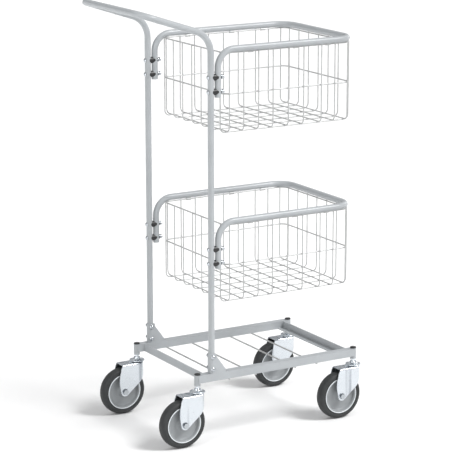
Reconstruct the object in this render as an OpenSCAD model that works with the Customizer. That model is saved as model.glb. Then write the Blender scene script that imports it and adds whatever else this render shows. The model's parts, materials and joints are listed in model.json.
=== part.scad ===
// Two-basket shopping trolley: bent tube handle frame on a welded chassis with
// four swivel castors, carrying two wire baskets that bolt to the uprights.
// +X is the way the trolley is pushed, +Y its left side, +Z up, floor at z = 0.

/* [Frame tube] */
// Outside diameter of the round tube of the handle and the basket frames
tube_d = 16; // [13:0.5:22]
// Gap between an upright and the leg of a basket frame beside it
leg_gap = 4; // [2:0.5:10]

/* [Chassis] */
// Distance between the rear and front swivel axes
chassis_l = 470; // [420:5:700]
// Distance between the left and right swivel axes
chassis_w = 322; // [270:2:460]
// Outside size of the square side rails
rail_size = 20; // [16:1:30]
// Wall of the side rails
rail_wall = 1.5; // [1:0.1:3]
// Leg of the two cross angles
angle_leg = 20; // [12:1:26]
// Wall of the two cross angles
angle_wall = 3; // [2:0.5:5]
// Distance from a swivel axis in to the face of the cross angle beside it
angle_inset = 18; // [12:1:20]
// Diameter of the four shelf rods
rod_d = 4; // [3:0.5:8]
// Outside diameter of the corner sockets that hold the castor stems
socket_d = 16; // [15:0.5:24]
// Height of the black end caps above their sockets
cap_h = 4; // [2:0.5:10]

/* [Handle] */
// Distance from the rear swivel axis forward to the uprights
upright_x = 41.2; // [39:0.2:60]
// Horizontal distance from the uprights back to the handle bar
handle_reach = 191; // [140:1:260]
// Slope of the handle arms above the horizontal, in degrees
handle_slope = 18.3; // [5:0.1:40]
// Height of the handle bar above the upper basket's frame
handle_lift = 99; // [90:1:200]
// Bend radius at the top of the uprights
shoulder_r = 60; // [40:1:90]
// Bend radius at the two corners of the handle bar
grip_corner_r = 40; // [25:1:60]

/* [Foot brackets] */
// Height of the foot brackets above the rails
bracket_h = 51.5; // [45:0.5:80]
// Length of a foot bracket forward of the upright's axis
bracket_reach = 37; // [28:1:60]
// Sheet thickness of the foot brackets
bracket_wall = 1.7; // [1:0.1:3]

/* [Baskets] */
// Height of the lower basket's frame tube above the side rails
lower_lift = 385.5; // [330:0.5:500]
// Distance between the two basket frames
basket_pitch = 432; // [360:1:520]
// Distance from the legs to the front tube of a basket frame
basket_l = 398; // [350:1:600]
// Bend radius of the basket frame tube
frame_bend_r = 45; // [35:1:60]
// Depth from the frame tube to the long floor wires
basket_depth = 210; // [170:1:300]
// Depth from the frame tube to the middle ring
ring_depth = 112; // [90:1:150]
// Distance from the rear wall of wire forward to a tube's radius past the bend above the legs
rear_wall_back = 35; // [23:0.5:38]
// Diameter of the wall and floor wires
wire_d = 3; // [2:0.25:4]
// Diameter of the rim wire and the middle ring
ring_wire_d = 3.5; // [2.5:0.25:5]
// Corner radius of the rim wire and the middle ring
ring_corner_r = 20; // [19:1:30]
// Bend radius at the foot of each wall wire
wire_bend_r = 13; // [8:1:13]
// Number of long wires
long_wires = 7; // [5:2:11]
// Length of the clips that hold the rim wire
clip_l = 13; // [8:1:20]

/* [Clamp bolts] */
// Depth from the frame tube to the upper clamp bolt
clamp_depth = 66.3; // [60:0.1:80]
// Distance between the two clamp bolts of a leg
clamp_pitch = 36.2; // [28:0.1:60]
// Length of leg below the lower clamp bolt
leg_tail = 14; // [10:0.5:30]
// Diameter of the clamp and bracket bolts
bolt_d = 6; // [4:0.5:8]
// Diameter of the round bolt heads
head_d = 12; // [11:0.5:14]
// Height of the round bolt heads
head_h = 3.6; // [2:0.1:6]
// How much wider than the tube the black saddle spacers are
spacer_extra = 0.4; // [0.2:0.1:6]

/* [Castors] */
// Wheel diameter
wheel_d = 125; // [100:1:160]
// Tyre width
tyre_w = 28; // [22:1:36]
// Wall of the tyre between rim and tread
tyre_h = 16; // [10:1:22]
// Distance that the axle trails behind the swivel axis
trail = 45; // [35:1:60]
// Stem diameter
stem_d = 11; // [8:0.5:12]
// Axle bolt diameter
axle_d = 8; // [6:0.5:10]
// Clearance between the tyre and each fork leg
fork_gap = 2.5; // [2:0.5:6]
// Sheet thickness of the fork
fork_wall = 2.5; // [2:0.1:4]
// Radius of the fork leg around the axle
leg_end_r = 12; // [10:0.5:16]
// Clearance from the tyre up to the fork crown
crown_gap = 8.5; // [6:0.5:14]
// Diameter of the swivel head
head_ring_d = 40; // [34:1:44]
// Diameter of the swivel balls
ball_d = 4; // [3:0.5:5]

/* [Hidden] */
touch = 0.02;          // gap left between pieces that touch
running = 0.05;        // radial clearance of a turning fit
core_l = 2;
tube_r = tube_d / 2;
half_w = chassis_w / 2;
CORNERS = [
    ["rear_left", 0, half_w],
    ["rear_right", 0, -half_w],
    ["front_left", chassis_l, half_w],
    ["front_right", chassis_l, -half_w],
];
CASTOR_PARTS = ["fork", "balls", "axle_bolt", "axle_nut", "axle_sleeve", "rim", "tyre"];
BASKETS = ["upper", "lower"];
BASKET_PARTS = ["frame_tube", "rim_wire", "middle_ring", "cross_wires", "long_wires", "clips"];

// Castor heights, from the floor up
axle_z = wheel_d / 2;
crown_under = wheel_d + crown_gap;
crown_top = crown_under + fork_wall;
cup_under = crown_top + ball_d + 2 * touch;
cup_edge_h = 1.5;
cup_h = 8.5;
collar_h = 1.5;
stem_gap = 5;
socket_bottom = cup_under + cup_h + stem_gap + collar_h;
socket_below_rail = 7.5;
stem_in_socket = 23;

// Chassis heights
rail_bottom = socket_bottom + socket_below_rail;
rail_top = rail_bottom + rail_size;
socket_above_rail = 0.5;
socket_top = rail_top + socket_above_rail;
rod_overhang = 9;
rod_from_rear = [89, 167];
rod_from_front = [184, 118];
rod_x = concat(rod_from_rear, [for (d = rod_from_front) chassis_l - d]);

// Basket and handle heights
lower_z = rail_top + lower_lift;
upper_z = lower_z + basket_pitch;
handle_z = upper_z + handle_lift;
rim_gap = 0.25;
rim_depth = tube_r + ring_wire_d / 2 + rim_gap;
ring_offset = (wire_d + ring_wire_d) / 2 + running;
spacer_d = tube_d + spacer_extra;
spacer_lip = 1.5;      // how far short of the tubes' axes the spacers end
leg_x = upright_x + tube_d + leg_gap;
rear_wall_x = leg_x + frame_bend_r + tube_r - rear_wall_back;
front_tube_x = leg_x + basket_l;
front_wall_inset = 1.8;
front_wall_x = front_tube_x - front_wall_inset;
side_wall_inset = 1;
side_wall_y = half_w - side_wall_inset;
wire_gap = 0.5;
wire_top_depth = tube_r + wire_gap;
corner_wire_inset = 15.5;
cross_gaps = [41, 43, 42, 45, 45, 53, 40, 38];
clip_gaps = [1, 4, 6];
clip_wall = 1.65;
leg_bottom_depth = clamp_depth + clamp_pitch + leg_tail;

// Handle arm, from the shoulder bend to the grip corner
shoulder_turn = 90 - handle_slope;
arm_l = (handle_reach - shoulder_r * (1 - cos(shoulder_turn))) / sin(shoulder_turn);
shoulder_z = handle_z - shoulder_r * sin(shoulder_turn) - arm_l * cos(shoulder_turn);

// Foot bracket
bracket_edge_h = 5.5;
lower_bolt_rise = 10.5;
upper_bolt_drop = 9.6;
bracket_bolt_z = [rail_top + lower_bolt_rise, rail_top + bracket_h - upper_bolt_drop];
bracket_collar_h = 7;
bracket_r = tube_r + touch + bracket_wall;

// Nuts
nut_af = bolt_d + 4;
nut_h = 5;
washer_h = 1;
nut_grip = washer_h + nut_h + 1;
axle_head_af = axle_d + 5;
axle_head_h = 5.5;
axle_nut_h = 6.5;

// Fork and wheel
fork_inner_w = tyre_w + 2 * fork_gap;
fork_outer_w = fork_inner_w + 2 * fork_wall;
fork_front_inset = 6;
fork_front_x = head_ring_d / 2 - fork_front_inset;
bow_r = 50;            // rounds the corner between the front of the fork and its leg
bow_z = crown_top - 16;
leg_bulge = 4.5;       // how far the rear edge swells behind the leg end
rear_edge_r = 106;
rear_edge_z = axle_z + 26;
fork_edge_r = 4;
fork_front_r = 14;
leg_blend = 0.1;       // the leg's sides cross its round end instead of just touching it
sleeve_d = axle_d + 4;
rim_r = wheel_d / 2 - tyre_h;
hub_wall = 8;
hub_r = sleeve_d / 2 + hub_wall;

// The origin is under the middle of the whole trolley
x_rear = upright_x - handle_reach - tube_r;
x_front = chassis_l + head_ring_d / 2;
mid_x = (x_rear + x_front) / 2;

module placed() {
    translate([-mid_x, 0, 0]) children();
}

// ---- tube and wire paths: each step draws along local +Z, then hands on ----

module run(d, len) {
    cylinder(h = len, d = d, $fn = 32);
    translate([0, 0, len]) children();
}

// Bend by angle a towards local +X turned by the angle side
module bend(d, r, a, side = 0) {
    rotate([0, 0, side]) {
        translate([r, 0, 0]) mirror([1, 0, 0]) rotate([90, 0, 0])
            rotate_extrude(angle = a, $fn = 64) translate([r, 0]) circle(d = d, $fn = 32);
        translate([r - r * cos(a), 0, r * sin(a)]) rotate([0, a, 0]) rotate([0, 0, -side])
            children();
    }
}

// Short core inside a tube that keeps two lengths in one solid where rounding leaves a hair's gap
module core(d) {
    translate([0, 0, -core_l / 2]) cylinder(h = core_l, d = d - core_l / 10, $fn = 32);
    children();
}

module at_castor(c) {
    placed() translate([c[1], c[2], 0]) children();
}

module both_sides() {
    children();
    mirror([0, 1, 0]) children();
}

// ---- handle frame ----

module upright_and_arm() {
    grip_half = half_w - grip_corner_r;
    translate([upright_x, half_w, rail_top])
        run(tube_d, shoulder_z - rail_top)
            bend(tube_d, shoulder_r, shoulder_turn, 180)
                core(tube_d) run(tube_d, arm_l - grip_corner_r)
                    bend(tube_d, grip_corner_r, 90, -90)
                        run(tube_d, grip_half) core(tube_d);
}

module handle_frame() {
    color([0.70, 0.73, 0.75]) difference() {
        both_sides() upright_and_arm();
        clamp_bores();
        bracket_bores();
    }
}

module clamp_positions() {
    for (z = [lower_z, upper_z], k = [0, 1], side = [-1, 1])
        translate([upright_x, side * half_w, z - clamp_depth - k * clamp_pitch]) children();
}

module clamp_bores() {
    clamp_positions() translate([-tube_d, 0, 0]) rotate([0, 90, 0])
        cylinder(h = 3 * tube_d + leg_gap, d = bolt_d + 2 * touch, $fn = 32);
}

module bracket_bores() {
    for (side = [-1, 1], z = bracket_bolt_z)
        translate([upright_x, side * half_w, z]) rotate([90, 0, 0])
            cylinder(h = 2 * tube_d, d = bolt_d + 2 * touch, center = true, $fn = 32);
}

// ---- chassis ----

module rail(side) {
    inner = rail_size - 2 * rail_wall;
    color([0.71, 0.74, 0.76]) difference() {
        translate([0, side * half_w, rail_bottom + rail_size / 2]) rotate([0, 90, 0])
            linear_extrude(chassis_l) difference() {
                square(rail_size, center = true);
                square(inner, center = true);
            }
        for (x = [0, chassis_l])
            translate([x, side * half_w, rail_bottom - 1])
                cylinder(h = rail_size + 2, d = socket_d + 2 * touch, $fn = 48);
        for (x = [-rail_size, chassis_l])
            translate([x, side * half_w - rail_size, rail_bottom - 1])
                cube([rail_size, 2 * rail_size, rail_size + 2]);
    }
}

module left_rail() { rail(1); }

module right_rail() { rail(-1); }

// Angle with its upright leg at x = 0 and its foot running towards +X
module cross_angle() {
    span = chassis_w - rail_size - 2 * touch;
    rotate([90, 0, 0]) linear_extrude(span, center = true) polygon([
        [0, 0], [angle_leg, 0], [angle_leg, angle_wall],
        [angle_wall, angle_wall], [angle_wall, rail_size], [0, rail_size],
    ]);
}

module rear_cross_angle() {
    color([0.70, 0.73, 0.75]) translate([angle_inset, 0, rail_bottom]) cross_angle();
}

module front_cross_angle() {
    color([0.70, 0.73, 0.75]) translate([chassis_l - angle_inset, 0, rail_bottom])
        mirror([1, 0, 0]) cross_angle();
}

module shelf_rods() {
    rod_l = chassis_w + 2 * rod_overhang;
    color([0.85, 0.86, 0.87]) for (x = rod_x)
        translate([x, 0, rail_bottom - rod_d / 2 - touch]) rotate([90, 0, 0])
            cylinder(h = rod_l, d = rod_d, center = true, $fn = 24);
}

module at_corners() {
    for (c = CORNERS) translate([c[1], c[2], 0]) children();
}

module corner_sockets() {
    color([0.70, 0.73, 0.75]) at_corners() difference() {
        translate([0, 0, socket_bottom])
            cylinder(h = socket_top - socket_bottom, d = socket_d, $fn = 48);
        translate([0, 0, socket_bottom - 1])
            cylinder(h = socket_top - socket_bottom + 2, d = stem_d + 2 * touch, $fn = 48);
    }
}

module socket_caps() {
    plug_h = 4;
    color([0.06, 0.06, 0.06]) at_corners() {
        translate([0, 0, socket_top + touch]) {
            cylinder(h = cap_h / 2, d = socket_d, $fn = 48);
            translate([0, 0, cap_h / 2])
                cylinder(h = cap_h / 2, d1 = socket_d, d2 = socket_d - 4, $fn = 48);
        }
        translate([0, 0, socket_top - plug_h])
            cylinder(h = plug_h + 1, d = stem_d - 2 * touch, $fn = 48);
    }
}

// ---- foot brackets: a sheet folded round the upright, with a gusset cheek each side ----

module foot_bracket(side) {
    outline = [
        [-bracket_r, 0], [bracket_reach, 0], [bracket_reach, bracket_edge_h],
        [bracket_r - 1, bracket_h - bracket_collar_h], [bracket_r - 1, bracket_h], [-bracket_r, bracket_h],
    ];
    color([0.70, 0.73, 0.75])
    translate([upright_x, side * half_w, rail_top + touch]) difference() {
        union() {
            cylinder(h = bracket_h, r = bracket_r, $fn = 64);
            intersection() {
                translate([0, -bracket_r, 0]) cube([bracket_reach, 2 * bracket_r, bracket_h]);
                rotate([90, 0, 0])
                    linear_extrude(2 * bracket_r + 2, center = true) polygon(outline);
            }
        }
        translate([0, 0, -1]) cylinder(h = bracket_h + 2, r = tube_r + touch, $fn = 64);
        translate([0, -tube_r - touch, -1])
            cube([bracket_reach + 1, tube_d + 2 * touch, bracket_h + 2]);
        for (z = bracket_bolt_z)
            translate([0, 0, z - rail_top - touch]) rotate([90, 0, 0])
                cylinder(h = 4 * bracket_r, d = bolt_d + 2 * touch, center = true, $fn = 32);
    }
}

module left_foot_bracket() { foot_bracket(1); }

module right_foot_bracket() { foot_bracket(-1); }

// ---- fasteners, each drawn along +Z ----

// Round-headed bolt: head below z = 0, shank above it
module round_bolt(shank_l) {
    cylinder(h = shank_l, d = bolt_d, $fn = 32);
    translate([0, 0, -head_h]) intersection() {
        cylinder(h = head_h, d = head_d, $fn = 48);
        dome_r = (head_d * head_d / 4 + head_h * head_h) / (2 * head_h);
        translate([0, 0, dome_r]) sphere(r = dome_r, $fn = 96);
    }
}

// Domed cap nut on a washer, with a blind hole for the end of the bolt
module cap_nut(grip) {
    dome_r = nut_af / 2 - 0.4;
    difference() {
        union() {
            cylinder(h = washer_h, d = nut_af + 2, $fn = 48);
            cylinder(h = washer_h + nut_h, d = nut_af / cos(30), $fn = 6);
            translate([0, 0, washer_h + nut_h - 1]) intersection() {
                sphere(r = dome_r + 1, $fn = 64);
                cylinder(h = dome_r + 2, r = dome_r, $fn = 48);
            }
        }
        translate([0, 0, -1]) cylinder(h = grip + 1 + touch, d = bolt_d + 2 * touch, $fn = 32);
    }
}

module clamp_bolts() {
    shank = 2 * tube_d + leg_gap + 2 * touch + nut_grip;
    color([0.88, 0.89, 0.90]) clamp_positions()
        translate([-tube_r - touch, 0, 0]) rotate([0, 90, 0]) round_bolt(shank);
}

module clamp_nuts() {
    color([0.88, 0.89, 0.90]) clamp_positions()
        translate([tube_d + leg_gap + tube_r + touch, 0, 0]) rotate([0, 90, 0])
            cap_nut(nut_grip);
}

// Black spacer that saddles the upright on one side and the basket leg on the other
module clamp_spacers() {
    reach = tube_r - spacer_lip;
    color([0.05, 0.05, 0.05]) clamp_positions() difference() {
        translate([tube_r - reach, 0, 0]) rotate([0, 90, 0])
            cylinder(h = leg_gap + 2 * reach, d = spacer_d, $fn = 64);
        for (x = [0, tube_d + leg_gap]) translate([x, 0, 0])
            cylinder(h = 2 * spacer_d, r = tube_r + touch, center = true, $fn = 64);
        rotate([0, 90, 0])
            cylinder(h = 3 * tube_d, d = bolt_d + 2 * touch, center = true, $fn = 32);
    }
}

module bracket_bolt_positions() {
    for (side = [-1, 1], z = bracket_bolt_z)
        translate([upright_x, side * half_w, z]) children();
}

module bracket_bolts() {
    shank = 2 * bracket_r + 2 * touch + nut_grip;
    color([0.88, 0.89, 0.90]) bracket_bolt_positions()
        translate([0, -bracket_r - touch, 0]) rotate([-90, 0, 0]) round_bolt(shank);
}

module bracket_nuts() {
    color([0.88, 0.89, 0.90]) bracket_bolt_positions()
        translate([0, bracket_r + touch, 0]) rotate([-90, 0, 0]) cap_nut(nut_grip);
}

// ---- baskets: z is the height of the frame tube ----

module basket_frame_half(z) {
    straight_l = basket_l - 2 * frame_bend_r;
    translate([leg_x, half_w, z - leg_bottom_depth])
        run(tube_d, leg_bottom_depth - frame_bend_r)
            bend(tube_d, frame_bend_r, 90)
                run(tube_d, straight_l)
                    bend(tube_d, frame_bend_r, 90, -90)
                        run(tube_d, half_w - frame_bend_r);
}

module frame_tube(z) {
    color([0.70, 0.73, 0.75]) difference() {
        both_sides() basket_frame_half(z);
        clamp_bores();
    }
}

// Closed ring that lies inside the wall wires
module wire_ring(z) {
    x0 = rear_wall_x + ring_offset;
    ring_l = front_wall_x - rear_wall_x - 2 * ring_offset;
    half = side_wall_y - ring_offset - ring_corner_r;
    color([0.86, 0.87, 0.88]) both_sides() translate([x0, 0, z]) rotate([-90, 0, 0])
        run(ring_wire_d, half)
            bend(ring_wire_d, ring_corner_r, 90)
                run(ring_wire_d, ring_l - 2 * ring_corner_r)
                    bend(ring_wire_d, ring_corner_r, 90)
                        run(ring_wire_d, half);
}

function gap_sum(n) = n == 0 ? 0 : cross_gaps[n - 1] + gap_sum(n - 1);

function cross_x(i) =
    let (first = rear_wall_x + corner_wire_inset, last = front_wall_x - corner_wire_inset)
    first + (last - first) * gap_sum(i) / gap_sum(len(cross_gaps));

// How far the underside of the frame tube has dropped at x, in the bend above the legs
function tube_drop(x) =
    let (r = frame_bend_r - tube_r, back = max(0, leg_x + frame_bend_r - x + wire_d / 2))
    r - sqrt(r * r - back * back);

// U-shaped wires across the basket, resting on the long wires
module cross_wires(z) {
    floor_z = z - basket_depth + wire_d + running;
    wall_h = z - wire_top_depth - floor_z - wire_bend_r;
    color([0.86, 0.87, 0.88]) for (i = [0 : len(cross_gaps)])
        both_sides() translate([cross_x(i), 0, floor_z]) rotate([-90, 0, 0])
            run(wire_d, side_wall_y - wire_bend_r)
                bend(wire_d, wire_bend_r, 90, -90)
                    run(wire_d, wall_h - tube_drop(cross_x(i)));
}

// U-shaped wires along the basket: rear wall, floor and front wall
module long_wires(z) {
    floor_z = z - basket_depth;
    wall_h = basket_depth - wire_top_depth - wire_bend_r;
    floor_l = front_wall_x - rear_wall_x - 2 * wire_bend_r;
    wire_y = side_wall_y - ring_corner_r + 1;
    color([0.86, 0.87, 0.88]) for (i = [0 : long_wires - 1])
        translate([rear_wall_x, wire_y * (2 * i / (long_wires - 1) - 1), floor_z + wire_bend_r]) {
            cylinder(h = wall_h, d = wire_d, $fn = 32);
            rotate([180, 0, 0]) bend(wire_d, wire_bend_r, 90)
                run(wire_d, floor_l)
                    bend(wire_d, wire_bend_r, 90)
                        run(wire_d, wall_h);
        }
}

// Sleeves round the rim wire, welded up under the frame tube, three on each side
module clips(z) {
    clip_r = ring_wire_d / 2 + clip_wall;
    clip_x = [for (i = clip_gaps) (cross_x(i) + cross_x(i + 1)) / 2];
    wire_y = side_wall_y - ring_offset;
    color([0.62, 0.64, 0.66]) both_sides() for (x = clip_x)
        difference() {
            translate([x - clip_l / 2, wire_y, z - rim_depth]) rotate([0, 90, 0])
                cylinder(h = clip_l, r = clip_r, $fn = 32);
            translate([x - clip_l, wire_y, z - rim_depth]) rotate([0, 90, 0])
                cylinder(h = 2 * clip_l, d = ring_wire_d + 2 * touch, $fn = 32);
            translate([x - clip_l, half_w, z]) rotate([0, 90, 0])
                cylinder(h = 2 * clip_l, r = tube_r + touch, $fn = 64);
        }
}

// ---- castors ----

module castor_stems() {
    rivet_h = 3;
    color([0.80, 0.81, 0.82]) at_corners() {
        translate([0, 0, crown_under - running - rivet_h])
            cylinder(h = rivet_h, d = stem_d + 6, $fn = 48);
        translate([0, 0, crown_under - running - 1])
            cylinder(h = socket_bottom + stem_in_socket - crown_under + 1, d = stem_d, $fn = 48);
        translate([0, 0, socket_bottom - collar_h - touch])
            cylinder(h = collar_h, d = socket_d, $fn = 48);
    }
}

// Dished cover that the stem clamps over the swivel balls
module castor_cups() {
    hole_r = stem_d / 2 + touch;
    rim = head_ring_d / 2;
    neck_r = stem_d / 2 + 2.5;
    flare_w = 4;
    flare_h = 1.5;
    skirt = 1.6;
    skirt_drop = 1.6;
    color([0.82, 0.83, 0.84]) at_corners() rotate_extrude($fn = 96) polygon([
        [hole_r, cup_under], [rim - skirt, cup_under], [rim - skirt, cup_under - skirt_drop],
        [rim, cup_under - skirt_drop], [rim, cup_under + cup_edge_h],
        [neck_r + flare_w, cup_under + cup_edge_h + flare_h],
        [neck_r, cup_under + cup_h], [hole_r, cup_under + cup_h],
    ]);
}

// Outline of the fork seen from the side: round leg end, bowed front corner, swelling rear edge
module fork_outline() {
    side_r = leg_end_r - leg_blend;
    to_bow = [fork_front_x - bow_r, bow_z] - [-trail, axle_z];
    away = atan2(to_bow[1], to_bow[0]) - acos((leg_end_r - bow_r) / norm(to_bow));
    way = [cos(away), sin(away)];
    back_x = -trail - leg_end_r - leg_bulge;
    bow_x = fork_front_x - bow_r;
    intersection() {
        translate([back_x - 1, 0]) square([fork_front_x - back_x + 1, crown_top]);
        translate([back_x + rear_edge_r, rear_edge_z]) circle(r = rear_edge_r, $fn = 192);
        union() {
            translate([-trail, axle_z]) circle(r = leg_end_r, $fn = 64);
            intersection() {
                translate([bow_x, bow_z]) circle(r = bow_r, $fn = 128);
                translate([bow_x, 0]) square([bow_r, crown_top]);
            }
            polygon([
                [-trail, axle_z] + side_r * way,
                [bow_x, bow_z] + (bow_r - leg_blend) * way,
                [fork_front_x - leg_blend, bow_z],
                [fork_front_x - leg_blend, crown_top + 1],
                [back_x - 1, crown_top + 1],
                [back_x - 1, rear_edge_z],
                [-trail - side_r, axle_z],
            ]);
        }
    }
}

module round_corner_square(w, h, r) {
    translate([0, r]) square([w, h - 2 * r]);
    translate([r, 0]) square([w - 2 * r, h]);
    for (x = [r, w - r], y = [r, h - r]) translate([x, y]) circle(r = r, $fn = 48);
}

// Long block of width w, its top edges rounded by top_r and its front edges by front_r
module sheet_block(w, front, top, top_r, front_r) {
    deep = 2 * wheel_d;
    intersection() {
        translate([-deep, 0, top - deep]) rotate([90, 0, 90])
            linear_extrude(2 * deep) translate([-w / 2, 0]) round_corner_square(w, deep, top_r);
        translate([front - deep, -w / 2, 0])
            linear_extrude(2 * deep) round_corner_square(deep, w, front_r);
    }
}

module fork() {
    color([0.84, 0.86, 0.88]) difference() {
        intersection() {
            rotate([90, 0, 0]) linear_extrude(2 * fork_outer_w, center = true) fork_outline();
            sheet_block(fork_outer_w, fork_front_x, crown_top, fork_edge_r, fork_front_r);
        }
        // hollow inside, open to the rear and below
        sheet_block(fork_inner_w, fork_front_x - fork_wall, crown_under,
                    fork_edge_r - fork_wall, fork_front_r - fork_wall);
        translate([0, 0, crown_under - 1])
            cylinder(h = fork_wall + 2, d = stem_d + 2 * running, $fn = 48);
        translate([-trail, 0, axle_z]) rotate([90, 0, 0])
            cylinder(h = 2 * fork_outer_w, d = axle_d + 2 * touch, center = true, $fn = 48);
    }
}

module balls() {
    count = 10;
    ring_r = stem_d / 2 + ball_d / 2 + 4;
    color([0.9, 0.9, 0.9]) for (i = [0 : count - 1])
        rotate([0, 0, 360 * i / count]) translate([ring_r, 0, crown_top + ball_d / 2 + touch])
            sphere(d = ball_d, $fn = 24);
}

// Everything on the axle is drawn along +Y from the middle of the fork
module on_axle() {
    translate([-trail, 0, axle_z]) rotate([-90, 0, 0]) children();
}

module axle_bolt() {
    side = fork_outer_w / 2 + touch;
    flange_h = 1.5;
    color([0.85, 0.86, 0.87]) on_axle() {
        translate([0, 0, -side]) cylinder(h = 2 * side + axle_nut_h + 2, d = axle_d, $fn = 48);
        translate([0, 0, -side - flange_h])
            cylinder(h = flange_h, d = axle_head_af + 4, $fn = 48);
        translate([0, 0, -side - axle_head_h])
            cylinder(h = axle_head_h - flange_h + 1, d = axle_head_af / cos(30), $fn = 6);
    }
}

module axle_nut() {
    color([0.85, 0.86, 0.87]) on_axle() translate([0, 0, fork_outer_w / 2 + 2 * touch])
        difference() {
            cylinder(h = axle_nut_h, d = axle_head_af / cos(30), $fn = 6);
            translate([0, 0, -1])
                cylinder(h = axle_nut_h + 2, d = axle_d + 2 * touch, $fn = 48);
        }
}

module axle_sleeve() {
    sleeve_l = fork_inner_w - 2 * touch;
    color([0.75, 0.76, 0.78]) on_axle() difference() {
        cylinder(h = sleeve_l, d = sleeve_d, center = true, $fn = 48);
        cylinder(h = sleeve_l + 2, d = axle_d + 2 * touch, center = true, $fn = 48);
    }
}

module rim() {
    bore_r = sleeve_d / 2 + running;
    hub_y = fork_inner_w / 2 - 1;
    web_y = 4;
    band_y = tyre_w / 2 - 2.5;
    lip_y = tyre_w / 2 - 1;
    half_profile = [
        [bore_r, hub_y], [hub_r, hub_y], [hub_r + 2, web_y + 3], [hub_r + 6, web_y],
        [rim_r - 9, web_y], [rim_r - 5, band_y], [rim_r - 3, lip_y], [rim_r, lip_y],
    ];
    lower = [for (i = [len(half_profile) - 1 : -1 : 0]) [half_profile[i][0], -half_profile[i][1]]];
    color([0.62, 0.64, 0.65]) on_axle()
        rotate_extrude($fn = 128) polygon(concat(half_profile, lower));
}

module tyre() {
    inner = rim_r + touch;
    outer = wheel_d / 2;
    shoulder_round = 5;
    color([0.17, 0.18, 0.18]) on_axle() rotate_extrude($fn = 160) {
        translate([inner, -tyre_w / 2]) square([outer - shoulder_round - inner, tyre_w]);
        translate([inner, shoulder_round - tyre_w / 2])
            square([outer - inner, tyre_w - 2 * shoulder_round]);
        for (s = [-1, 1])
            translate([outer - shoulder_round, s * (tyre_w / 2 - shoulder_round)])
                circle(r = shoulder_round, $fn = 48);
    }
}

// ---- the assembly ----

placed() handle_frame();
placed() left_rail();
placed() right_rail();
placed() rear_cross_angle();
placed() front_cross_angle();
placed() shelf_rods();
placed() corner_sockets();
placed() socket_caps();
placed() left_foot_bracket();
placed() right_foot_bracket();
placed() bracket_bolts();
placed() bracket_nuts();
placed() clamp_bolts();
placed() clamp_nuts();
placed() clamp_spacers();
placed() castor_stems();
placed() castor_cups();

for (b = BASKETS) {
    z = b == "upper" ? upper_z : lower_z;
    placed() frame_tube(z);
    placed() wire_ring(z - rim_depth);
    placed() wire_ring(z - ring_depth);
    placed() cross_wires(z);
    placed() long_wires(z);
    placed() clips(z);
}

for (c = CORNERS) {
    at_castor(c) fork();
    at_castor(c) balls();
    at_castor(c) axle_bolt();
    at_castor(c) axle_nut();
    at_castor(c) axle_sleeve();
    at_castor(c) rim();
    at_castor(c) tyre();
}
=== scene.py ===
"""Looks of a two-basket shopping trolley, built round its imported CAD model, in metres."""

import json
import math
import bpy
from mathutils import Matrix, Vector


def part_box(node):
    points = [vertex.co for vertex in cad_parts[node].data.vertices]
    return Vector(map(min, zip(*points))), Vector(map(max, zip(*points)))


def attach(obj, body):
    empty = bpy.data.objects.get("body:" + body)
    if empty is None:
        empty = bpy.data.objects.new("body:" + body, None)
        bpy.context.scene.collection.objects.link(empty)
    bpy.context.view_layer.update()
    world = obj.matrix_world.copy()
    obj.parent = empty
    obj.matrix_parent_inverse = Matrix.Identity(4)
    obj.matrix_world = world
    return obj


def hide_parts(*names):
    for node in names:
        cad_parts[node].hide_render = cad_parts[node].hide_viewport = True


bl_info = {
    "name": "Two-basket shopping trolley",
    "version": (1, 0, 0),
    "blender": (4, 5, 0),
    "location": "View3D > Sidebar > Trolley",
    "description": "Wheels, castor heads, caps, welds, finishes and a pale studio for the trolley",
    "category": "Object",
}

import bpy
import numpy as np

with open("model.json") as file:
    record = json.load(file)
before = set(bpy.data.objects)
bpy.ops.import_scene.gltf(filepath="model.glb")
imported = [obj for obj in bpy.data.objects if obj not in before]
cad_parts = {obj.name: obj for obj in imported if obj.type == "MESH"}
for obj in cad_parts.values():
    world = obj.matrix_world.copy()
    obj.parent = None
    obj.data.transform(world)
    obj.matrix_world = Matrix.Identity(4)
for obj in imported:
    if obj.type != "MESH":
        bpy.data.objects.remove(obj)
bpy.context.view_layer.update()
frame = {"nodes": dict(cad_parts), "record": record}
MM = 0.001
CORNERS = ("rear_left", "rear_right", "front_left", "front_right")
BASKETS = ("upper", "lower")

# Studio: places and lengths in metres, angles in radians, lens and sensor in millimetres
CAMERA = {
    "where": (-2.68415, -4.57966, 1.76291),
    "turn": 0.53655,
    "tilt": 0.23521,
    "lens": 162.133,
    "sensor": 36,
}
KEY_DIRECTION = (-0.7, 0.8, -1.2)
KEY_SPREAD = math.radians(22)
LIT_POINT = (0, 0, 0.45)
FLOOR_REACH = 40.0

# Steps round the axis of each turned piece
TYRE_STEPS = 144
WHEEL_STEPS = 128
HEAD_STEPS = 96
CAP_STEPS = 48

# Welds: lengths in metres, and the leg of a smaller bead as a share of the largest
BARE_END = 0.001
ANGLE_FLAT = 0.003
FLAT_BEAD_START = 0.006
TACK_HALF_LENGTH = 0.006
FLAT_BEAD_LEG = 0.8
SOCKET_BEAD_LEG = 0.8
TACK_LEG = 0.7


def middle(node):
    """Centre of a node's box, as an array."""
    low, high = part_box(node)
    return (np.array(low) + np.array(high)) / 2


# ---- meshes worked out as arrays ----


def grid_faces(rows, columns, wrap_rows, wrap_columns):
    """Quads of a grid whose vertex (i, j) has index i * columns + j. A wrapped side joins its
    last line to its first."""
    i = np.arange(rows if wrap_rows else rows - 1)
    j = np.arange(columns if wrap_columns else columns - 1)
    i, j = np.meshgrid(i, j, indexing="ij")
    k, m = (i + 1) % rows, (j + 1) % columns
    corners = (i * columns + j, k * columns + j, k * columns + m, i * columns + m)
    return np.stack(corners, -1).reshape(-1, 4)


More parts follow.
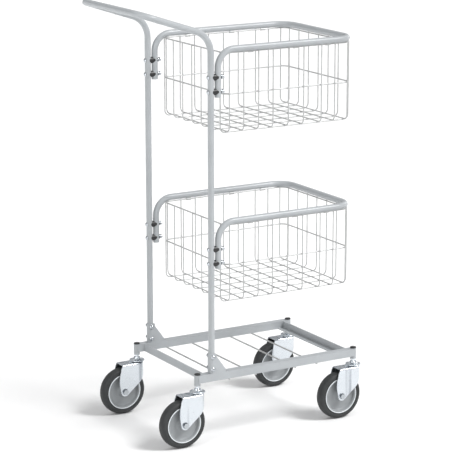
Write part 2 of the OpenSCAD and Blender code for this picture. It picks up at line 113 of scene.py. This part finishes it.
def make_mesh(name, parts, material, smooth_angle):
    """One object from (points, faces) parts; shading is smooth below smooth_angle degrees."""
    points, faces, base = [], [], 0
    for p, f in parts:
        points.append(p)
        faces += [tuple(int(v) + base for v in row) for row in f]
        base += len(p)
    mesh = bpy.data.meshes.new(name)
    mesh.from_pydata(np.vstack(points).tolist(), [], faces)
    mesh.materials.append(material)
    mesh.shade_smooth()
    mesh.set_sharp_from_angle(angle=math.radians(smooth_angle))
    piece = bpy.data.objects.new(name, mesh)
    bpy.context.scene.collection.objects.link(piece)
    return piece


def rounded(corners, radius, steps=4, share=0.48):
    """Closed outline with each corner cut back to a and b, by radius or at most the share of its
    shorter side, and joined by the curve (1-t)^2 a + 2 t (1-t) corner + t^2 b."""
    p = np.array(corners, float)
    before, after = np.roll(p, 1, 0) - p, np.roll(p, -1, 0) - p
    reach_a = np.linalg.norm(before, axis=1, keepdims=True)
    reach_b = np.linalg.norm(after, axis=1, keepdims=True)
    cut = np.minimum(radius, share * np.minimum(reach_a, reach_b))
    a, b = p + before / reach_a * cut, p + after / reach_b * cut
    t = np.linspace(0, 1, steps)[None, :, None]
    curve = (1 - t) ** 2 * a[:, None] + 2 * t * (1 - t) * p[:, None] + t**2 * b[:, None]
    return curve.reshape(-1, 2)


def lathe(outline, centre, axis, steps):
    """Closed outline of (radius, height) in millimetres, turned about an axis: radius (cos a,
    sin a) across the axis and height along it, for steps equal angles a."""
    outline = np.array(outline, float) * MM
    a = np.linspace(0, 2 * np.pi, steps, endpoint=False)[:, None]
    across, up = np.cos(a) * outline[:, 0], np.sin(a) * outline[:, 0]
    along = np.broadcast_to(outline[:, 1], across.shape)
    order = (across, up, along) if axis == "z" else (up, along, across)
    points = np.stack(order, -1).reshape(-1, 3) + np.array(centre)
    x, y = outline[:, 0], outline[:, 1]
    area = np.sum(x * np.roll(y, -1) - np.roll(x, -1) * y)
    faces = grid_faces(steps, len(outline), True, True)
    return points, faces if area > 0 else faces[:, ::-1]


def blob(centre, radius, rings=3, sides=6):
    """Small closed ball: centre + radius * (sin p cos a, sin p sin a, cos p), and two poles."""
    p = np.linspace(0, np.pi, rings + 2)[1:-1, None]
    a = np.linspace(0, 2 * np.pi, sides, endpoint=False)[None, :]
    shape = np.stack([np.sin(p) * np.cos(a), np.sin(p) * np.sin(a), np.cos(p) + 0 * a], -1)
    points = np.vstack([shape.reshape(-1, 3), [[0, 0, 1], [0, 0, -1]]])
    body = grid_faces(rings, sides, False, True)
    k = np.arange(sides)
    top = np.stack([np.full(sides, rings * sides), k, (k + 1) % sides], -1)
    last = (rings - 1) * sides
    low = np.stack([np.full(sides, rings * sides + 1), last + (k + 1) % sides, last + k], -1)
    faces = [tuple(r) for r in body] + [tuple(r) for r in top] + [tuple(r) for r in low]
    return points * radius + np.array(centre), faces


def weld_bead(path, side_a, side_b, width, ripple=0.0016, swell=0.13, tip=0.06):
    """Fillet of weld along a path in the corner between two faces. Its section is the corner, sunk
    by 0.12 w, and a quarter round of radius 0.9 w from one face to the other. At arc length s,
    w is width (1 + swell |sin(pi s / ripple)|) sqrt(tip + (1 - tip) e), where e rises from 0 at
    either end to 1 over 1.5 widths."""
    sunk, reach, taper = 0.12, 0.9, 1.5
    path = np.array(path, float)
    a, b = np.array(side_a, float), np.array(side_b, float)
    step = np.linalg.norm(np.diff(path, axis=0), axis=1)
    s = np.concatenate([[0], np.cumsum(step)])
    end = np.clip(np.minimum(s, s[-1] - s) / (taper * width), 0, 1)
    rippled = width * (1 + swell * np.abs(np.sin(np.pi * s / ripple)))
    w = rippled * np.sqrt(tip + (1 - tip) * end)
    t = np.linspace(0, np.pi / 2, 5)
    skin = np.stack([np.cos(t), np.sin(t)], -1) * reach
    section = np.concatenate([[[-sunk, -sunk]], skin])
    along_a = w[:, None, None] * section[None, :, :1] * a
    along_b = w[:, None, None] * section[None, :, 1:] * b
    points = path[:, None, :] + along_a + along_b
    rows, columns = points.shape[:2]
    faces = [tuple(r) for r in grid_faces(rows, columns, False, True)]
    last = rows * columns - 1
    faces += [tuple(range(columns)), tuple(range(last, last - columns, -1))]
    if np.dot(np.cross(a, b), path[1] - path[0]) >= 0:
        faces = [f[::-1] for f in faces]
    return points.reshape(-1, 3), faces


def line(start, end, pitch=0.0004):
    """Points about a pitch apart on a straight line, and at least four."""
    start, end = np.array(start, float), np.array(end, float)
    count = max(4, int(np.linalg.norm(end - start) / pitch))
    return start + np.linspace(0, 1, count)[:, None] * (end - start)


def wire_places(node, axis, gap=0.01):
    """Middle of each run of vertices along an axis, split where they are more than gap apart."""
    mesh = frame["nodes"][node].data
    co = np.empty(len(mesh.vertices) * 3)
    mesh.vertices.foreach_get("co", co)
    at = np.sort(co[axis::3])
    groups = np.split(at, np.where(np.diff(at) > gap)[0] + 1)
    return [(g[0] + g[-1]) / 2 for g in groups]


# ---- finishes ----


def tint(colour, factor):
    """A colour made lighter or darker by a factor, with white as its limit."""
    return tuple(min(1.0, c * factor) for c in colour)


def set_ramp(node, stops):
    """Gives a colour ramp its (place, colour) stops, lowest first."""
    elements = node.color_ramp.elements
    while len(elements) < len(stops):
        elements.new(0.5)
    for element, (at, colour) in zip(elements, stops, strict=True):
        element.position, element.color = at, (*colour, 1)


class Nodes:
    """Builds one material's node tree. Noise scales are per metre and bump depths in metres."""

    def __init__(self, name):
        self.material = bpy.data.materials.new(name)
        self.material.use_nodes = True
        self.tree = self.material.node_tree
        self.shader = self.tree.nodes["Principled BSDF"]
        self.place = self.add("ShaderNodeTexCoord").outputs["Object"]

    def add(self, kind, **settings):
        node = self.tree.nodes.new(kind)
        for key, value in settings.items():
            setattr(node, key, value)
        return node

    def link(self, source, target):
        self.tree.links.new(source, target)

    def noise(self, scale, detail=3.0, rough=0.5, stretch=None):
        """Noise in the object's space, drawn out along an axis whose stretch is below 1."""
        node = self.add("ShaderNodeTexNoise")
        node.inputs["Scale"].default_value = scale
        node.inputs["Detail"].default_value = detail
        node.inputs["Roughness"].default_value = rough
        source = self.place
        if stretch:
            turn = self.add("ShaderNodeMapping")
            turn.inputs["Scale"].default_value = stretch
            self.link(self.place, turn.inputs["Vector"])
            source = turn.outputs["Vector"]
        self.link(source, node.inputs["Vector"])
        return node.outputs["Fac"]

    def spread(self, source, low, high, at=(0.3, 0.7)):
        """Low to high, as a value goes from at[0] to at[1]."""
        node = self.add("ShaderNodeMapRange")
        node.inputs["From Min"].default_value, node.inputs["From Max"].default_value = at
        node.inputs["To Min"].default_value, node.inputs["To Max"].default_value = low, high
        self.link(source, node.inputs["Value"])
        return node.outputs["Result"]

    def ramp(self, source, stops):
        """Colour that follows a value through (place, colour) stops."""
        node = self.add("ShaderNodeValToRGB")
        set_ramp(node, stops)
        self.link(source, node.inputs["Fac"])
        return node.outputs["Color"]

    def shade(self, source, colour, low, high, at=(0.3, 0.7)):
        """A colour times low to times high, as a value goes from at[0] to at[1]."""
        return self.ramp(source, [(at[0], tint(colour, low)), (at[1], tint(colour, high))])

    def multiply(self, one, other):
        node = self.add("ShaderNodeMix", data_type="RGBA", blend_type="MULTIPLY")
        node.inputs["Factor"].default_value = 1.0
        self.link(one, node.inputs["A"])
        self.link(other, node.inputs["B"])
        return node.outputs["Result"]

    def bump(self, source, depth):
        node = self.add("ShaderNodeBump")
        node.inputs["Strength"].default_value = 1.0
        node.inputs["Distance"].default_value = depth
        self.link(source, node.inputs["Height"])
        return node.outputs["Normal"]

    def finish(self, colour, roughness, normal, metallic=0.0, coat=0.0, specular=0.5,
               coat_roughness=0.12):
        """Joins the maps to the shader, sets its plain values and returns the material."""
        self.link(colour, self.shader.inputs["Base Color"])
        self.link(roughness, self.shader.inputs["Roughness"])
        self.link(normal, self.shader.inputs["Normal"])
        self.shader.inputs["Metallic"].default_value = metallic
        self.shader.inputs["Specular IOR Level"].default_value = specular
        self.shader.inputs["Coat Weight"].default_value = coat
        self.shader.inputs["Coat Roughness"].default_value = coat_roughness
        return self.material


def powder_coat(look):
    """Satin powder coat: fine orange peel and faint clouding."""
    n = Nodes("powder_coat_satin")
    colour = n.shade(n.noise(14, 2), look.coat_colour, 0.96, 1.04)
    rough = n.spread(n.noise(160, 3), look.coat_roughness - 0.05, look.coat_roughness + 0.06)
    peel = n.bump(n.noise(150, 2, 0.4), 0.00002)
    return n.finish(colour, rough, peel, coat=0.15)


def drawn_zinc(look):
    """Zinc plate on drawn wire: dull, with soft patches and a faint grain."""
    n = Nodes("zinc_plate_wire")
    colour = n.shade(n.noise(90, 3), look.wire_colour, 0.9, 1.05)
    rough = n.spread(n.noise(300, 4), 0.40, 0.52)
    return n.finish(colour, rough, n.bump(n.noise(200, 2), 0.000004), metallic=0.7)


def bolt_zinc(look):
    """Bright zinc on bolts and nuts: sharper and darker than sheet, with a faint grain."""
    n = Nodes("zinc_plate_bolts")
    colour = n.shade(n.noise(400, 3), tint(look.zinc_colour, 0.72), 0.85, 1.1)
    rough = n.spread(n.noise(700, 3), 0.10, 0.20)
    return n.finish(colour, rough, n.bump(n.noise(300, 2), 0.000004), metallic=1.0)


def lip_painted_highlight(look):
    """Polished lip of the wheel centre, with a painted highlight: its colour is made paler than the
    web's.
    """
    n = Nodes("moulded_lip_painted_highlight")
    # Painted highlight: the wheel colour made 2.7 times paler
    colour = n.shade(n.noise(60, 3), tint(look.wheel_colour, 2.7), 0.94, 1.04)
    rough = n.spread(n.noise(300, 3), 0.18, 0.28)
    return n.finish(colour, rough, n.bump(n.noise(200, 2), 0.000004), coat=0.3)


def pressed_zinc(look):
    """Blue-white zinc plate on pressed sheet: faint clouds, upright draw streaks and soft waves."""
    n = Nodes("zinc_plate_pressed")
    colour = n.shade(n.noise(26, 3), look.zinc_colour, 0.97, 1.02)
    rough = n.spread(n.noise(90, 3), 0.22, 0.28)
    streaks = n.noise(75, 1, 0.4, stretch=(1, 1, 0.03))
    shade = n.ramp(streaks, [(0.30, (0.62, 0.63, 0.65)), (0.46, (1, 1, 1))])
    waves = n.bump(n.noise(16, 1, 0.3), 0.00006)
    return n.finish(n.multiply(colour, shade), rough, waves, metallic=0.95)


def moulded_grey(look):
    """Grey moulded wheel centre: low sheen, slight flow marks and a fine spark texture."""
    n = Nodes("moulded_grey")
    flow = n.noise(26, 3, 0.55, stretch=(1, 3, 1))
    colour = n.shade(flow, look.wheel_colour, 0.95, 1.05)
    rough = n.spread(n.noise(200, 3), 0.36, 0.48)
    spark = n.bump(n.noise(400, 2), 0.000008)
    return n.finish(colour, rough, spark)


def tyre_rubber(look):
    """Dark grey rubber: matt, with patches of dust and a fine mould grain."""
    n = Nodes("tyre_rubber_dark")
    dust = n.noise(60, 5, 0.65)
    colour = n.shade(dust, look.rubber_colour, 0.9, 1.35, at=(0.35, 0.75))
    rough = n.spread(n.noise(240, 4), 0.5, 0.66)
    grain = n.bump(n.noise(500, 3, 0.6), 0.00002)
    return n.finish(colour, rough, grain, specular=0.4)


def black_plastic(look):
    """Black moulded plastic with a soft sheen."""
    n = Nodes("black_plastic_soft")
    colour = n.shade(n.noise(80, 3), look.cap_colour, 0.85, 1.3)
    rough = n.spread(n.noise(260, 3), 0.32, 0.46)
    return n.finish(colour, rough, n.bump(n.noise(400, 2), 0.00001))


# The record's material slots, then two finishes for pieces of a slot that look unlike the rest; the
# second paints a highlight on the wheel lips
FINISHES = {
    "powder_coat": powder_coat,
    "zinc_wire": drawn_zinc,
    "bright_zinc": pressed_zinc,
    "wheel_plastic": moulded_grey,
    "tyre_rubber": tyre_rubber,
    "black_plastic": black_plastic,
    "bolt_zinc": bolt_zinc,
    "lip_painted_highlight": lip_painted_highlight,
}
MATERIALS = {}


def place(name, parts, slot, body, stands_for=(), smooth_angle=50, finish=None):
    """Makes a piece, puts it under its body and hides the CAD nodes it stands for. Its finish
    is its slot's unless another is named."""
    piece = make_mesh(name, parts, MATERIALS[finish or slot], smooth_angle)
    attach(piece, body)
    if stands_for:
        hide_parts(*stands_for)


# ---- sizes and colours that a user would change ----


class TrolleyLook(bpy.types.PropertyGroup):
    """Sizes, colours and light strengths of the trolley's looks"""

    coat_colour: bpy.props.FloatVectorProperty(
        name="Powder coat", description="Colour of the tubes, rails and brackets",
        subtype="COLOR", min=0, max=1, default=(0.38, 0.40, 0.415))
    wire_colour: bpy.props.FloatVectorProperty(
        name="Wire", description="Colour of the basket wires and shelf rods",
        subtype="COLOR", min=0, max=1, default=(0.50, 0.505, 0.505))
    zinc_colour: bpy.props.FloatVectorProperty(
        name="Zinc plate", description="Colour of the forks, bolts and nuts",
        subtype="COLOR", min=0, max=1, default=(0.72, 0.76, 0.80))
    wheel_colour: bpy.props.FloatVectorProperty(
        name="Wheel centre", description="Colour of the moulded wheel centres",
        subtype="COLOR", min=0, max=1, default=(0.27, 0.285, 0.295))
    rubber_colour: bpy.props.FloatVectorProperty(
        name="Tyre", description="Colour of the tyres",
        subtype="COLOR", min=0, max=1, default=(0.030, 0.032, 0.033))
    cap_colour: bpy.props.FloatVectorProperty(
        name="Caps", description="Colour of the caps and spacers",
        subtype="COLOR", min=0, max=1, default=(0.016, 0.016, 0.017))
    coat_roughness: bpy.props.FloatProperty(
        name="Coat roughness", description="How matt the powder coat is",
        subtype="FACTOR", min=0.1, max=0.9, default=0.38)
    bead: bpy.props.FloatProperty(
        name="Weld size", description="Leg of the larger weld fillets",
        unit="LENGTH", min=0.0005, max=0.004, default=0.0022)
    spot: bpy.props.FloatProperty(
        name="Spot weld size", description="Half width of the weld where two wires cross",
        unit="LENGTH", min=0.0003, max=0.002, default=0.0013)
    cap_crown: bpy.props.FloatProperty(
        name="Cap crown", description="How far a cap's top swells above its edge",
        unit="LENGTH", min=0, max=0.002, default=0.0012)
    fill_strength: bpy.props.FloatProperty(
        name="Fill light",
        description="Power of the soft light on the shaded side; the rim light has a third",
        unit="POWER", min=0, max=2000, default=36)
    sun_strength: bpy.props.FloatProperty(
        name="Key light", description="Strength of the soft light from the front right, above",
        min=0, max=10, default=2.7)
    sky_strength: bpy.props.FloatProperty(
        name="Sky", description="Brightness of the surround",
        min=0, max=5, default=1.0)


# ---- operators, one for each group of pieces ----


class TROLLEY_OT_finishes(bpy.types.Operator):
    """Make the eight finishes and put them on the CAD nodes"""

    bl_idname = "trolley.finishes"
    bl_label = "Finishes"

    def execute(self, context):
        look = context.scene.trolley_look
        for slot, build in FINISHES.items():
            MATERIALS[slot] = build(look)
        for row in frame["record"]["subparts"]:
            node = frame["nodes"][row["node"]]
            node.data.materials.clear()
            fastener = row["node"].endswith(("bolt", "bolts", "nut", "nuts"))
            finish = "bolt_zinc" if fastener else row["material_slot"]
            node.data.materials.append(MATERIALS[finish])
        return {"FINISHED"}


class TROLLEY_OT_tyres(bpy.types.Operator):
    """Make the four tyres, with a crowned tread and a moulded ring on each side"""

    bl_idname = "trolley.tyres"
    bl_label = "Tyres"

    def execute(self, context):
        half = [(62.45, 0), (62.1, 5.5), (60.8, 9.8), (58.4, 12.6), (55.2, 13.9), (52.2, 13.75),
                (51.3, 13.1), (50.3, 13.1), (49.6, 13.6), (47.8, 13.4), (46.6, 12.4)]
        outline = half + [(r, -t) for r, t in half[:0:-1]]
        for corner in CORNERS:
            part = lathe(rounded(outline, 1.2), middle(f"{corner}_tyre"), "y", TYRE_STEPS)
            place(f"{corner}_tyre_moulded", [part], "tyre_rubber", f"{corner}_wheel",
                  [f"{corner}_tyre"])
        return {"FINISHED"}


class TROLLEY_OT_wheel_centres(bpy.types.Operator):
    """Make the four moulded wheel centres: hub, dished web and a lip beside the tyre, paler as a
    painted highlight
    """

    bl_idname = "trolley.wheel_centres"
    bl_label = "Wheel centres"

    def execute(self, context):
        half = [(6.1, 15.4), (13.2, 15.4), (14.2, 9.5), (17.0, 6.2), (22.0, 5.2), (36.5, 5.0),
                (37.3, 5.9), (38.6, 5.9), (39.8, 6.6), (41.6, 11.0), (42.6, 12.6), (46.4, 12.6)]
        outline = half + [(r, -t) for r, t in half[::-1]]
        lip = [(44.9, 12.0), (44.9, 13.4), (45.4, 13.9), (46.6, 13.9), (47.3, 13.5), (46.9, 12.3)]
        for corner in CORNERS:
            where = middle(f"{corner}_rim")
            part = lathe(rounded(outline, 0.8), where, "y", WHEEL_STEPS)
            place(f"{corner}_wheel_centre", [part], "wheel_plastic", f"{corner}_wheel",
                  [f"{corner}_rim"])
            # The lips beside the tyre get a paler finish, a painted highlight
            sides = [lathe(rounded([(r, way * t) for r, t in lip], 0.5), where, "y", WHEEL_STEPS)
                     for way in (-1, 1)]
            place(f"{corner}_wheel_lips", sides, "wheel_plastic", f"{corner}_wheel",
                  finish="lip_painted_highlight")
        return {"FINISHED"}


class TROLLEY_OT_castor_heads(bpy.types.Operator):
    """Make the flared covers over the swivel balls, with a rolled edge"""

    bl_idname = "trolley.castor_heads"
    bl_label = "Castor heads"

    def execute(self, context):
        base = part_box("castor_cups")[0][2]
        outline = [(5.6, 1.6), (18.2, 1.6), (18.2, 0.05), (19.9, 0.05), (19.95, 2.2), (19.0, 3.0),
                   (15.0, 3.5), (11.8, 4.5), (9.2, 6.6), (8.0, 10.0), (5.6, 10.05)]
        heads = []
        for corner in CORNERS:
            x, y, _ = middle(f"{corner}_balls")
            heads.append(lathe(rounded(outline, 0.8), (x, y, base), "z", HEAD_STEPS))
        place("castor_head_covers", heads, "bright_zinc", "frame", ["castor_cups"])
        return {"FINISHED"}


class TROLLEY_OT_caps(bpy.types.Operator):
    """Make the four black caps over the castor sockets, with crowned tops and a plug below"""

    bl_idname = "trolley.caps"
    bl_label = "Socket caps"

    def execute(self, context):
        low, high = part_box("socket_caps")
        tall = (high[2] - low[2]) / MM
        crown = context.scene.trolley_look.cap_crown / MM
        outline = [(0.02, tall - 0.1), (0.02, 0), (5.3, 0), (5.3, 4.05), (7.95, 4.05),
                   (7.95, tall - crown), (6.6, tall - 0.45 * crown), (3.2, tall - 0.15 * crown)]
        caps = []
        for corner in CORNERS:
            x, y, _ = middle(f"{corner}_balls")
            caps.append(lathe(rounded(outline, 0.6), (x, y, low[2]), "z", CAP_STEPS))
        place("socket_caps_crowned", caps, "black_plastic", "frame", ["socket_caps"])
        return {"FINISHED"}


class TROLLEY_OT_frame_welds(bpy.types.Operator):
    """Run weld beads where the cross angles, sockets and rods meet the rails"""

    bl_idname = "trolley.frame_welds"
    bl_label = "Frame welds"

    def execute(self, context):
        width = context.scene.trolley_look.bead
        beads = []
        for side, rail in ((1, "left_rail"), (-1, "right_rail")):
            low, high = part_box(rail)
            inner = low[1] if side > 0 else high[1]
            across = (0, -side, 0)
            for angle, outward in (("rear_cross_angle", -1), ("front_cross_angle", 1)):
                a_low, a_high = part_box(angle)
                face = a_low[0] if outward < 0 else a_high[0]
                toe = a_high[0] if outward < 0 else a_low[0]
                path = line((face, inner, low[2] + BARE_END), (face, inner, high[2] - BARE_END))
                beads.append(weld_bead(path, (outward, 0, 0), across, width))
                flat = a_low[2] + ANGLE_FLAT
                start = face - outward * FLAT_BEAD_START
                path = line((start, inner, flat), (toe, inner, flat))
                beads.append(weld_bead(path, (0, 0, 1), across, width * FLAT_BEAD_LEG))
            beads += self.rod_tacks(low, high, width)
        beads += self.socket_beads(width)
        place("frame_weld_beads", beads, "powder_coat", "frame", smooth_angle=60)
        return {"FINISHED"}

    def socket_beads(self, width):
        """Upright fillets between each corner socket and the cut end of its rail."""
        low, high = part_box("left_rail")
        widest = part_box("corner_sockets")[1][1]
        beads = []
        for corner in CORNERS:
            x, y, _ = middle(f"{corner}_balls")
            radius = widest - abs(y)
            end = -1 if corner.startswith("rear") else 1
            for way in (-1, 1):
                at = y + way * radius
                path = line((x, at, low[2] + BARE_END), (x, at, high[2] - BARE_END))
                beads.append(weld_bead(path, (end, 0, 0), (0, way, 0), width * SOCKET_BEAD_LEG))
        return beads

    def rod_tacks(self, low, high, width):
        """Short fillets along both sides of each rod, under the rail whose box is low to high."""
        rods_low, rods_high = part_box("shelf_rods")
        middle_y = (low[1] + high[1]) / 2
        from_middle = 0.9 * (rods_high[2] - rods_low[2]) / 2
        tacks = []
        for x in wire_places("shelf_rods", 0):
            for way in (-1, 1):
                start = (x + way * from_middle, middle_y - TACK_HALF_LENGTH, low[2])
                end = (x + way * from_middle, middle_y + TACK_HALF_LENGTH, low[2])
                path = line(start, end)
                tacks.append(weld_bead(path, (way, 0, 0), (0, 0, -1), width * TACK_LEG))
        return tacks


class TROLLEY_OT_wire_welds(bpy.types.Operator):
    """Put a spot weld where the wires of each basket cross"""

    bl_idname = "trolley.wire_welds"
    bl_label = "Wire welds"

    def execute(self, context):
        spot = context.scene.trolley_look.spot
        for basket in BASKETS:
            c_low, c_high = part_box(f"{basket}_cross_wires")
            l_low, l_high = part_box(f"{basket}_long_wires")
            across = wire_places(f"{basket}_cross_wires", 0)
            along = wire_places(f"{basket}_long_wires", 1)
            wire = c_low[2] - l_low[2]
            sides = (c_low[1] + wire, c_high[1] - wire)
            ends = (l_low[0] + wire, l_high[0] - wire)
            spots = [(x, y, c_low[2]) for x in across for y in along]
            for ring in ("rim_wire", "middle_ring"):
                z = middle(f"{basket}_{ring}")[2]
                spots += [(x, y, z) for x in across[1:-1] for y in sides]
                spots += [(x, y, z) for x in ends for y in along]
            blobs = [blob(where, spot) for where in spots]
            place(f"{basket}_wire_welds", blobs, "zinc_wire", "frame", smooth_angle=180)
        return {"FINISHED"}


class TrolleyPanel(bpy.types.Panel):
    """Sizes, colours and the build steps of the trolley"""

    bl_idname = "VIEW3D_PT_trolley"
    bl_label = "Trolley"
    bl_space_type = "VIEW_3D"
    bl_region_type = "UI"
    bl_category = "Trolley"

    def draw(self, context):
        look = context.scene.trolley_look
        for key in look.__annotations__:
            self.layout.prop(look, key)
        for step in OPERATORS:
            self.layout.operator(step.bl_idname)


class TROLLEY_OT_stage(bpy.types.Operator):
    """Lay the pale floor and set up the soft studio light and the camera"""

    bl_idname = "trolley.stage"
    bl_label = "Studio"

    def execute(self, context):
        look = context.scene.trolley_look
        scene = context.scene
        scene.view_settings.view_transform = "Standard"
        self.floor(scene)
        self.lights(scene, look)
        self.sky(scene, look)
        self.camera(scene)
        return {"FINISHED"}

    def floor(self, scene):
        """Plain pale floor, with painted shade under the trolley: darker towards the middle."""
        n = Nodes("pale_floor")
        away = n.add("ShaderNodeVectorMath", operation="LENGTH")
        n.link(n.place, away.inputs[0])
        # Painted shade under the trolley: the colour is darkest near the middle and pales outwards
        stops = [(0.15, (0.84, 0.84, 0.84)), (0.95, (0.94, 0.94, 0.94))]
        colour = n.ramp(away.outputs["Value"], stops)
        rough = n.spread(n.noise(30, 2), 0.5, 0.6)
        material = n.finish(colour, rough, n.bump(n.noise(60, 2), 0.00001), specular=0.0)
        mesh = bpy.data.meshes.new("floor")
        corners = [(x * FLOOR_REACH, y * FLOOR_REACH, 0)
                   for x, y in ((-1, -1), (1, -1), (1, 1), (-1, 1))]
        mesh.from_pydata(corners, [], [(0, 1, 2, 3)])
        mesh.materials.append(material)
        floor = bpy.data.objects.new("floor", mesh)
        scene.collection.objects.link(floor)

    def lights(self, scene, look):
        """Soft discs on the shaded side and at the back, and a wide sun as the key light."""
        rows = (
            ("fill", (-3.2, -1.2, 1.9), 2.6, look.fill_strength),
            ("rim", (3.0, 1.2, 1.8), 1.4, look.fill_strength / 3),
        )
        for name, where, size, power in rows:
            data = bpy.data.lights.new(name, "AREA")
            data.shape, data.size, data.energy = "DISK", size, power
            lamp = bpy.data.objects.new(name, data)
            lamp.location = where
            toward = Vector(LIT_POINT) - Vector(where)
            lamp.rotation_euler = toward.to_track_quat("-Z", "Y").to_euler()
            scene.collection.objects.link(lamp)
        data = bpy.data.lights.new("key", "SUN")
        data.energy, data.angle = look.sun_strength, KEY_SPREAD
        lamp = bpy.data.objects.new("key", data)
        lamp.rotation_euler = Vector(KEY_DIRECTION).to_track_quat("-Z", "Y").to_euler()
        scene.collection.objects.link(lamp)

    def sky(self, scene, look):
        """Surround: white at the horizon behind the floor, dark grey just above it so that metal
        has something to show, and mid grey from there up."""
        world = bpy.data.worlds.new("studio")
        world.use_nodes = True
        tree = world.node_tree
        back = tree.nodes["Background"]
        where = tree.nodes.new("ShaderNodeTexCoord")
        split = tree.nodes.new("ShaderNodeSeparateXYZ")
        ramp = tree.nodes.new("ShaderNodeValToRGB")
        tree.links.new(where.outputs["Generated"], split.inputs["Vector"])
        tree.links.new(split.outputs["Z"], ramp.inputs["Fac"])
        set_ramp(ramp, [(0.08, (1, 1, 1)), (0.16, (0.26, 0.265, 0.28)), (0.6, (0.56, 0.56, 0.56))])
        tree.links.new(ramp.outputs["Color"], back.inputs["Color"])
        back.inputs["Strength"].default_value = look.sky_strength
        scene.world = world

    def camera(self, scene):
        """Long lens from the rear right, looking a little down."""
        data = bpy.data.cameras.new("camera")
        data.lens, data.sensor_width = CAMERA["lens"], CAMERA["sensor"]
        data.clip_start, data.clip_end = 0.1, 100
        camera = bpy.data.objects.new("camera", data)
        camera.location = CAMERA["where"]
        turn, tilt = CAMERA["turn"], CAMERA["tilt"]
        ahead = Vector((math.sin(turn) * math.cos(tilt), math.cos(turn) * math.cos(tilt),
                           -math.sin(tilt)))
        camera.rotation_euler = ahead.to_track_quat("-Z", "Y").to_euler()
        scene.collection.objects.link(camera)
        scene.camera = camera


OPERATORS = (
    TROLLEY_OT_stage,
    TROLLEY_OT_finishes,
    TROLLEY_OT_tyres,
    TROLLEY_OT_wheel_centres,
    TROLLEY_OT_castor_heads,
    TROLLEY_OT_caps,
    TROLLEY_OT_frame_welds,
    TROLLEY_OT_wire_welds,
)
CLASSES = (TrolleyLook, *OPERATORS, TrolleyPanel)


def register():
    for item in CLASSES:
        bpy.utils.register_class(item)
    bpy.types.Scene.trolley_look = bpy.props.PointerProperty(type=TrolleyLook)


def unregister():
    del bpy.types.Scene.trolley_look
    for item in reversed(CLASSES):
        bpy.utils.unregister_class(item)


def main():
    """Registers the add-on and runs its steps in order."""
    register()
    for step in OPERATORS:
        group, name = step.bl_idname.split(".")
        getattr(getattr(bpy.ops, group), name)()


if __name__ == "__main__":
    main()
